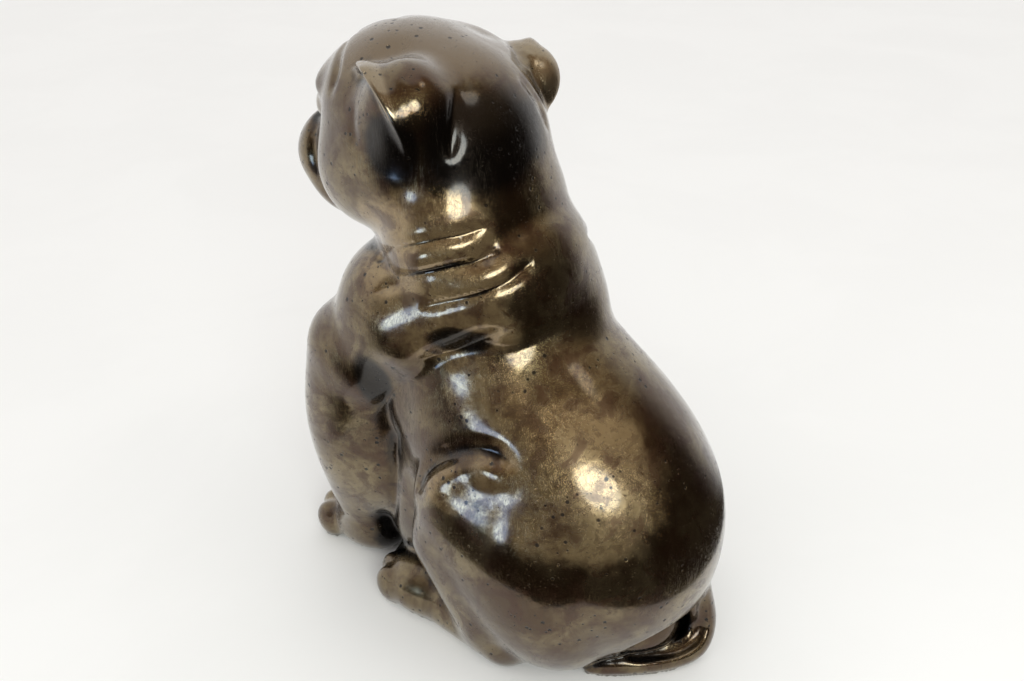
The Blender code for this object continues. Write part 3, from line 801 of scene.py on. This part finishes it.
def newGroup(name, inputs, output):
    # a node group that puts out one number; an input without a value takes a vector
    tree = bpy.data.node_groups.new(name, "ShaderNodeTree")
    for label, value in inputs.items():
        kind = "NodeSocketVector" if value is None else "NodeSocketFloat"
        socket = tree.interface.new_socket(label, in_out="INPUT", socket_type=kind)
        if value is not None:
            socket.default_value = value
    tree.interface.new_socket(output, in_out="OUTPUT", socket_type="NodeSocketFloat")
    return tree, tree.nodes.new("NodeGroupInput").outputs, tree.nodes.new("NodeGroupOutput").inputs


def put(tree, kind, inputs=None, **settings):
    # a node with its settings; an input takes a value or another node's output
    node = tree.nodes.new(kind)
    for name, value in settings.items():
        setattr(node, name, value)
    for name, value in (inputs or {}).items():
        if isinstance(value, bpy.types.NodeSocket):
            tree.links.new(value, node.inputs[name])
        else:
            node.inputs[name].default_value = value
    return node


def sums(tree, operation, first, second=0.0, third=0.0):
    return put(tree, "ShaderNodeMath", {0: first, 1: second, 2: third}, operation=operation).outputs[0]


def times(tree, first, second):
    return sums(tree, "MULTIPLY", first, second)


def noise(tree, place, scale, detail, roughness=0.5, distortion=0.0):
    return put(tree, "ShaderNodeTexNoise", {"Vector": place, "Scale": scale, "Detail": detail,
                                            "Roughness": roughness, "Distortion": distortion}).outputs["Fac"]


def ranged(tree, value, low, high, toLow=0.0, toHigh=1.0):
    # eased step from low to high
    return put(tree, "ShaderNodeMapRange", {"Value": value, "From Min": low, "From Max": high,
                                            "To Min": toLow, "To Max": toHigh},
               interpolation_type="SMOOTHSTEP").outputs["Result"]


def mixed(tree, share, first, second):
    # a colour between two, each plain or another node's
    first, second = [value if isinstance(value, bpy.types.NodeSocket) else (*value, 1)
                     for value in (first, second)]
    return put(tree, "ShaderNodeMix", {0: share, 6: first, 7: second}, data_type="RGBA").outputs[2]


def spread(tree, group, place, **values):
    # a group laid over a surface with its own values
    return put(tree, "ShaderNodeGroup", {"Place": place, **values}, node_tree=group).outputs[0]


def patinaMottleGroup():
    # cloudy patches at two scales
    tree, given, out = newGroup("patinaMottle", {"Place": None, "Scale": 20.0,
                                                 "Low": 0.4, "High": 0.6}, "Mask")
    cloud = noise(tree, given["Place"], given["Scale"], 7.0, 0.62, 0.5)
    tree.links.new(ranged(tree, cloud, given["Low"], given["High"]), out["Mask"])
    return tree


pitShape = {
    "cluster": (0.42, 0.66),        # from the edge of a cluster to its middle
    "crowding": (2.4, 0.15),        # times the share: added inside a cluster, and everywhere
    "radius": (0.26, 0.12),         # spread and least, in cells
    "wall": (1.0, 0.55),            # from the rim to the flat bottom
}


def castingPitsGroup():
    # round pits of uneven size, gathered in clusters
    tree, given, out = newGroup("castingPits", {"Place": None, "Scale": 500.0, "Share": 0.2,
                                                "Clusters": 25.0}, "Mask")
    cells = put(tree, "ShaderNodeTexVoronoi", {"Vector": given["Place"], "Scale": given["Scale"]})
    chance = put(tree, "ShaderNodeSeparateColor", {0: cells.outputs["Color"]})
    crowd = ranged(tree, noise(tree, given["Place"], given["Clusters"], 3.0), *pitShape["cluster"])
    limit = times(tree, given["Share"], sums(tree, "MULTIPLY_ADD", crowd, *pitShape["crowding"]))
    there = sums(tree, "LESS_THAN", chance.outputs[0], limit)
    radius = sums(tree, "MULTIPLY_ADD", chance.outputs[1], *pitShape["radius"])
    pit = ranged(tree, sums(tree, "DIVIDE", cells.outputs["Distance"], radius), *pitShape["wall"])
    tree.links.new(times(tree, pit, there), out["Mask"])
    return tree


def fineScratchesGroup():
    # long thin strokes left by chasing and wiping, in two directions
    tree, given, out = newGroup("fineScratches", {"Place": None, "Scale": 60.0}, "Mask")
    total = 0.0
    for turn in ((0.5, 0.3, 0.2), (-0.4, 0.9, 1.3)):
        place = put(tree, "ShaderNodeMapping", {"Vector": given["Place"], "Rotation": turn,
                                                "Scale": (1.0, 1.0, 0.06)})
        strokes = noise(tree, place.outputs[0], times(tree, given["Scale"], 12.0), 2.0)
        away = sums(tree, "ABSOLUTE", sums(tree, "SUBTRACT", strokes, 0.5))
        total = sums(tree, "MAXIMUM", ranged(tree, away, 0.02, 0.0), total)
    tree.links.new(total, out["Mask"])
    return tree


def workedOverGroup():
    # the slow ripple that a chaser's file and the wax leave in a polished skin
    tree, given, out = newGroup("workedOver", {"Place": None, "Scale": 90.0}, "Height")
    slow = noise(tree, given["Place"], given["Scale"], 2.0)
    fast = noise(tree, given["Place"], times(tree, given["Scale"], 7.0), 3.0)
    tree.links.new(sums(tree, "MULTIPLY_ADD", fast, 0.10, slow), out["Height"])
    return tree


def softZoneGroup():
    # one inside an oval of the given half size, easing to nothing outside it, with an uneven edge
    tree, given, out = newGroup("softZone", {"Place": None, "Centre": None, "Size": None,
                                             "Uneven": 0.3}, "Mask")
    offset = put(tree, "ShaderNodeVectorMath", {0: given["Place"], 1: given["Centre"]}, operation="SUBTRACT")
    scaled = put(tree, "ShaderNodeVectorMath", {0: offset.outputs[0], 1: given["Size"]}, operation="DIVIDE")
    reach = put(tree, "ShaderNodeVectorMath", {0: scaled.outputs[0]}, operation="LENGTH").outputs["Value"]
    shift = sums(tree, "SUBTRACT", noise(tree, given["Place"], 34.0, 5.0, 0.6), 0.5)
    reach = sums(tree, "MULTIPLY_ADD", shift, times(tree, given["Uneven"], 2.0), reach)
    tree.links.new(ranged(tree, reach, 1.15, 0.7), out["Mask"])
    return tree


patinaMottle = patinaMottleGroup()
castingPits = castingPitsGroup()
fineScratches = fineScratchesGroup()
workedOver = workedOverGroup()
softZone = softZoneGroup()

bronzeLook = {
    "brown": (0.074, 0.042, 0.018),
    "olive": (0.212, 0.162, 0.086),
    "gold": (0.340, 0.235, 0.115),
    "redBrown": (0.062, 0.026, 0.012),
    "rubbedAndSheen": (0.30, 0.235, 0.150),
    "pale": (0.170, 0.122, 0.074),
    "nearBlack": (0.010, 0.008, 0.007),
    "metal": (0.94, 0.68),         # plain and in the golden zones with their painted sheen
    "coat": 0.7,
    "coatRoughness": 0.13,
    "roughness": (0.14, 0.30),
    "rippleHeight": 0.00045,       # heights and depths in metres
    "pitDepth": 0.0005,
    "scratchDepth": 0.00002,
    # scale of each pattern to the metre, and where it starts and is full
    "clouds": {"Scale": 24.0, "Low": 0.36, "High": 0.66},
    "patches": {"Scale": 70.0, "Low": 0.46, "High": 0.62},
    "flecks": {"Scale": 420.0, "Low": 0.56, "High": 0.70},
    "stains": {"Scale": 160.0, "Low": 0.50, "High": 0.62},
    "pits": {"Scale": 260.0, "Share": 0.20, "Clusters": 30.0},
    "finePits": {"Scale": 850.0, "Share": 0.12, "Clusters": 45.0},
    "scratchScale": 55.0, "rippleScale": 75.0,
    # how far each layer covers what lies under it
    "goldCover": 0.6, "patchCover": 0.7, "stainCover": 0.35, "wornAndSheenCover": 0.8, "hollowShadeCover": 0.97,
    "zoneCover": 0.93, "pitCover": 0.85, "finePitCover": 0.8, "fleckCover": 0.22,
    # where the patina is darkest, most golden and palest: centre and half size in parts
    # painted shade under the cape and arm, painted dark reflection and darker patina on skull and ear
    "shadeAndDarkPatinaZones": [
        ((26, -2, 286), (42, 30, 25)),       # back of the skull
        ((62, -26, 286), (14, 16, 18)),      # back of the left ear
        ((56, 4, 192), (18, 18, 9)),         # under the edge of the cape
        ((68, -47, 156), (12, 9, 24)),       # behind the upper arm
    ],
    # golden patina, with a painted sheen where these places catch the light
    "goldAndSheenZones": [
        ((56, -14, 232), (32, 52, 42)),      # side of the neck
        ((50, -10, 200), (32, 48, 26)),      # cape
        ((46, 66, 132), (50, 56, 44)),       # top of the rump
        ((50, 18, 164), (16, 30, 26)),       # loin
        ((70, 10, 116), (14, 20, 16)),       # top of the knee
    ],
    # a painted reflection of the pale room, lightening the crown and brow
    "paleSheenZones": [
        ((8, -62, 330), (60, 58, 34)),       # crown and brow
    ],
}


def bronzeMaterial():
    look = bronzeLook
    material, tree, shader = newMaterial("patinated bronze")
    place = put(tree, "ShaderNodeTexCoord").outputs["Object"]
    corner = np.array(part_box("bulldog_figure")[0])
    hollow = put(tree, "ShaderNodeAttribute", attribute_name="hollow").outputs["Fac"]
    ridge = put(tree, "ShaderNodeAttribute", attribute_name="ridge").outputs["Fac"]

    def zones(name):
        total = 0.0
        for centre, size in look[name]:
            centre = (np.array(centre) - partLow) * partScale + corner
            mask = spread(tree, softZone, place, Centre=centre, Size=np.array(size) * partScale)
            total = sums(tree, "MAXIMUM", mask, total)
        return total

    clouds, patches, flecks, stains = [spread(tree, patinaMottle, place, **look[name])
                                       for name in ("clouds", "patches", "flecks", "stains")]
    pits, finePits = [spread(tree, castingPits, place, **look[name]) for name in ("pits", "finePits")]
    scratches = spread(tree, fineScratches, place, Scale=look["scratchScale"])
    ripple = spread(tree, workedOver, place, Scale=look["rippleScale"])

    colour = mixed(tree, clouds, look["brown"], look["olive"])
    # golden patina mixed with a painted sheen on neck, cape, loin, knee and rump
    goldAndSheen = ranged(tree, sums(tree, "MULTIPLY_ADD", clouds, 0.35, zones("goldAndSheenZones")), 0.25, 1.35)
    colour = mixed(tree, times(tree, goldAndSheen, look["goldCover"]), colour, look["gold"])
    colour = mixed(tree, times(tree, patches, look["patchCover"]), colour, look["redBrown"])
    colour = mixed(tree, times(tree, stains, look["stainCover"]), colour, look["redBrown"])
    # painted reflection: the crown and brow made pale
    colour = mixed(tree, zones("paleSheenZones"), colour, look["pale"])
    # rubbed bronze on the ridges, partly a painted sheen where they catch the light
    wornAndSheen = ranged(tree, sums(tree, "MULTIPLY_ADD", clouds, 0.10, ridge), 0.20, 0.55, 0.0, look["wornAndSheenCover"])
    colour = mixed(tree, wornAndSheen, colour, look["rubbedAndSheen"])
    # painted shade: hollows and folds darkened to near black, along with the patina's dark recesses
    sunk = ranged(tree, sums(tree, "MULTIPLY_ADD", patches, 0.08, hollow), 0.18, 0.48,
                  0.0, look["hollowShadeCover"])
    # the dark zones add painted shade and painted dark reflection
    dark = sums(tree, "MAXIMUM", sunk, times(tree, zones("shadeAndDarkPatinaZones"), look["zoneCover"]))
    colour = mixed(tree, dark, colour, look["nearBlack"])
    specks = sums(tree, "MAXIMUM", pits, times(tree, finePits, look["finePitCover"]))
    colour = mixed(tree, times(tree, specks, look["pitCover"]), colour, look["nearBlack"])
    colour = mixed(tree, times(tree, flecks, look["fleckCover"]), colour, look["nearBlack"])
    tree.links.new(colour, shader.inputs["Base Color"])

    uneven = sums(tree, "MULTIPLY_ADD", patches, 0.5, times(tree, clouds, 0.5))
    dull = ranged(tree, uneven, 0.1, 0.9, *look["roughness"])
    tree.links.new(sums(tree, "MULTIPLY_ADD", specks, 0.35, dull), shader.inputs["Roughness"])

    dusty = times(tree, goldAndSheen, ranged(tree, dark, 0.0, 0.5, 1.0, 0.0))
    tree.links.new(ranged(tree, dusty, 0.0, 1.0, *look["metal"]), shader.inputs["Metallic"])

    height = times(tree, ripple, look["rippleHeight"])
    height = sums(tree, "MULTIPLY_ADD", specks, -look["pitDepth"], height)
    height = sums(tree, "MULTIPLY_ADD", scratches, -look["scratchDepth"], height)
    bump = put(tree, "ShaderNodeBump", {"Height": height, "Strength": 1.0, "Distance": 1.0})
    tree.links.new(bump.outputs[0], shader.inputs["Normal"])

    shader.inputs["Coat Weight"].default_value = look["coat"]
    shader.inputs["Coat Roughness"].default_value = look["coatRoughness"]
    return material


figure.data.materials.append(bronzeMaterial())
print("bronze: material made")


# floor, light and camera

studio = {
    "floor": (0.90, 0.89, 0.875),
    "floorMottle": 0.985,                # brightness of the floor's darker patches
    "world": (0.97, 0.965, 0.955),
    "centre": (0.0, 0.0, 0.16),          # what the lights and the card stand round
    # turn and height in degrees, distance, size, brightness and colour of each light
    "lights": {
        "wide window": (141, 24, 1.2, (0.60, 0.42), 7.0, (0.93, 1.0, 0.97)),
        "upper window": (196, 60, 1.3, (0.34, 0.22), 2.0, (1.0, 0.98, 0.90)),
        "cool window": (86, 0, 0.55, (0.12, 0.15), 6.0, (0.45, 0.66, 1.0)),
    },
    "cardTurns": (48, 258),              # the dark card stands between these turns round the figure
    "cardRows": [(-38, 0.22), (-26, 0.36), (-16, 0.52), (-8, 0.85), (0, 1.2), (12, 1.5),
                 (25, 1.6), (40, 1.6), (55, 1.6), (72, 1.6)],       # height in degrees and reach of each
    "cardDark": (0.030, 0.022, 0.016),
    "cardTop": (0.34, 0.24, 0.15),
}


def floorMaterial():
    material, tree, shader = newMaterial("pale plaster")
    mottle = spread(tree, patinaMottle, put(tree, "ShaderNodeTexCoord").outputs["Object"], Scale=4.0)
    darker = [studio["floorMottle"] * value for value in studio["floor"]]
    tree.links.new(mixed(tree, mottle, studio["floor"], darker), shader.inputs["Base Color"])
    shader.inputs["Roughness"].default_value = 0.6
    shader.inputs["Specular IOR Level"].default_value = 0.2
    return material


bpy.ops.mesh.primitive_circle_add(vertices=96, radius=4.0, fill_type="NGON", location=(0, 0, 0))
floor = bpy.context.object
floor.name = "floor"
floor.data.materials.append(floorMaterial())

world = bpy.data.worlds.new("room")
world.use_nodes = True
world.node_tree.nodes["Background"].inputs["Color"].default_value = (*studio["world"], 1)
bpy.context.scene.world = world


def direction(around, up):
    # a direction by its turn round the figure, 0 in front and 90 at its left, and its height in degrees
    a, b = np.radians([around, up])
    return Vector((np.sin(a) * np.cos(b), -np.cos(a) * np.cos(b), np.sin(b)))


def softbox(name, around, up, distance, size, brightness, colour):
    # a soft round light; brightness is what the metal mirrors
    light = bpy.data.lights.new(name, "AREA")
    light.shape = "ELLIPSE"
    light.size, light.size_y = size
    light.energy = brightness * np.pi * size[0] * size[1]
    light.color = colour
    lamp = newObject(name, light)
    back = direction(around, up)
    lamp.location = Vector(studio["centre"]) + back * distance
    lamp.rotation_euler = back.to_track_quat("Z", "Y").to_euler()
    lamp.visible_camera = False


for name, values in studio["lights"].items():
    softbox(name, *values)
bpy.data.objects["cool window"].visible_diffuse = False     # it only gives the bronze a cool gloss


def cardMaterial():
    # near black low down and warmer towards the top, fading to the white of the room at its edges
    # it glows with its own light: a painted reflection of a dark room and a warm ceiling
    material, tree, shader = newMaterial("dark card")
    where = put(tree, "ShaderNodeSeparateXYZ", {0: put(tree, "ShaderNodeUVMap").outputs["UV"]}).outputs
    across, up = where["X"], where["Y"]
    tone = mixed(tree, ranged(tree, up, 0.45, 0.85), studio["cardDark"], studio["cardTop"])
    edge = sums(tree, "MAXIMUM", ranged(tree, across, 0.14, 0.0), ranged(tree, across, 0.86, 1.0))
    edge = sums(tree, "MAXIMUM", edge, ranged(tree, up, 0.9, 1.0))
    tree.links.new(mixed(tree, edge, tone, studio["world"]), shader.inputs["Emission Color"])
    shader.inputs["Emission Strength"].default_value = 1.0
    shader.inputs["Base Color"].default_value = (0, 0, 0, 1)
    shader.inputs["Specular IOR Level"].default_value = 0.0
    return material


def darkCard():
    # a curved card round one side, which only the polished metal mirrors
    turns = np.linspace(*studio["cardTurns"], 25)
    rows = [[Vector(studio["centre"]) + direction(turn, up) * reach for turn in turns]
            for up, reach in studio["cardRows"]]
    heights = [up for up, reach in studio["cardRows"]]
    for row in rows:
        for place in row:
            place.z = max(place.z, 0.004)       # clear of the floor
    mesh = bpy.data.meshes.new("dark_card")
    count = len(turns)
    faces = [(i * count + j, i * count + j + 1, (i + 1) * count + j + 1, (i + 1) * count + j)
             for i in range(len(rows) - 1) for j in range(count - 1)]
    mesh.from_pydata([place for row in rows for place in row], [], faces)
    layer = mesh.uv_layers.new(name="card")
    for loop in mesh.loops:
        i, j = divmod(loop.vertex_index, count)
        layer.data[loop.index].uv = (j / (count - 1), (heights[i] - heights[0]) / (heights[-1] - heights[0]))
    mesh.materials.append(cardMaterial())
    card = newObject("dark_card", mesh)
    card.visible_camera = card.visible_diffuse = card.visible_shadow = card.visible_transmission = False


darkCard()
bpy.context.scene.view_settings.view_transform = "Standard"
print("studio: floor, lights and card")

shot = {
    "around": 130, "up": 32, "distance": 0.5604, "target": (0.0, 0.0065, 0.1661),
    "lens": 35.156, "shift": (-0.01367, 0.01123),       # millimetres, and shares of the frame's width
}
lens = bpy.data.cameras.new("camera")
lens.sensor_width = 36
lens.lens = shot["lens"]
lens.shift_x, lens.shift_y = shot["shift"]
lens.clip_start = 0.02
camera = newObject("camera", lens)
back = direction(shot["around"], shot["up"])
camera.location = Vector(shot["target"]) + back * shot["distance"]
camera.rotation_euler = back.to_track_quat("Z", "Y").to_euler()
bpy.context.scene.camera = camera
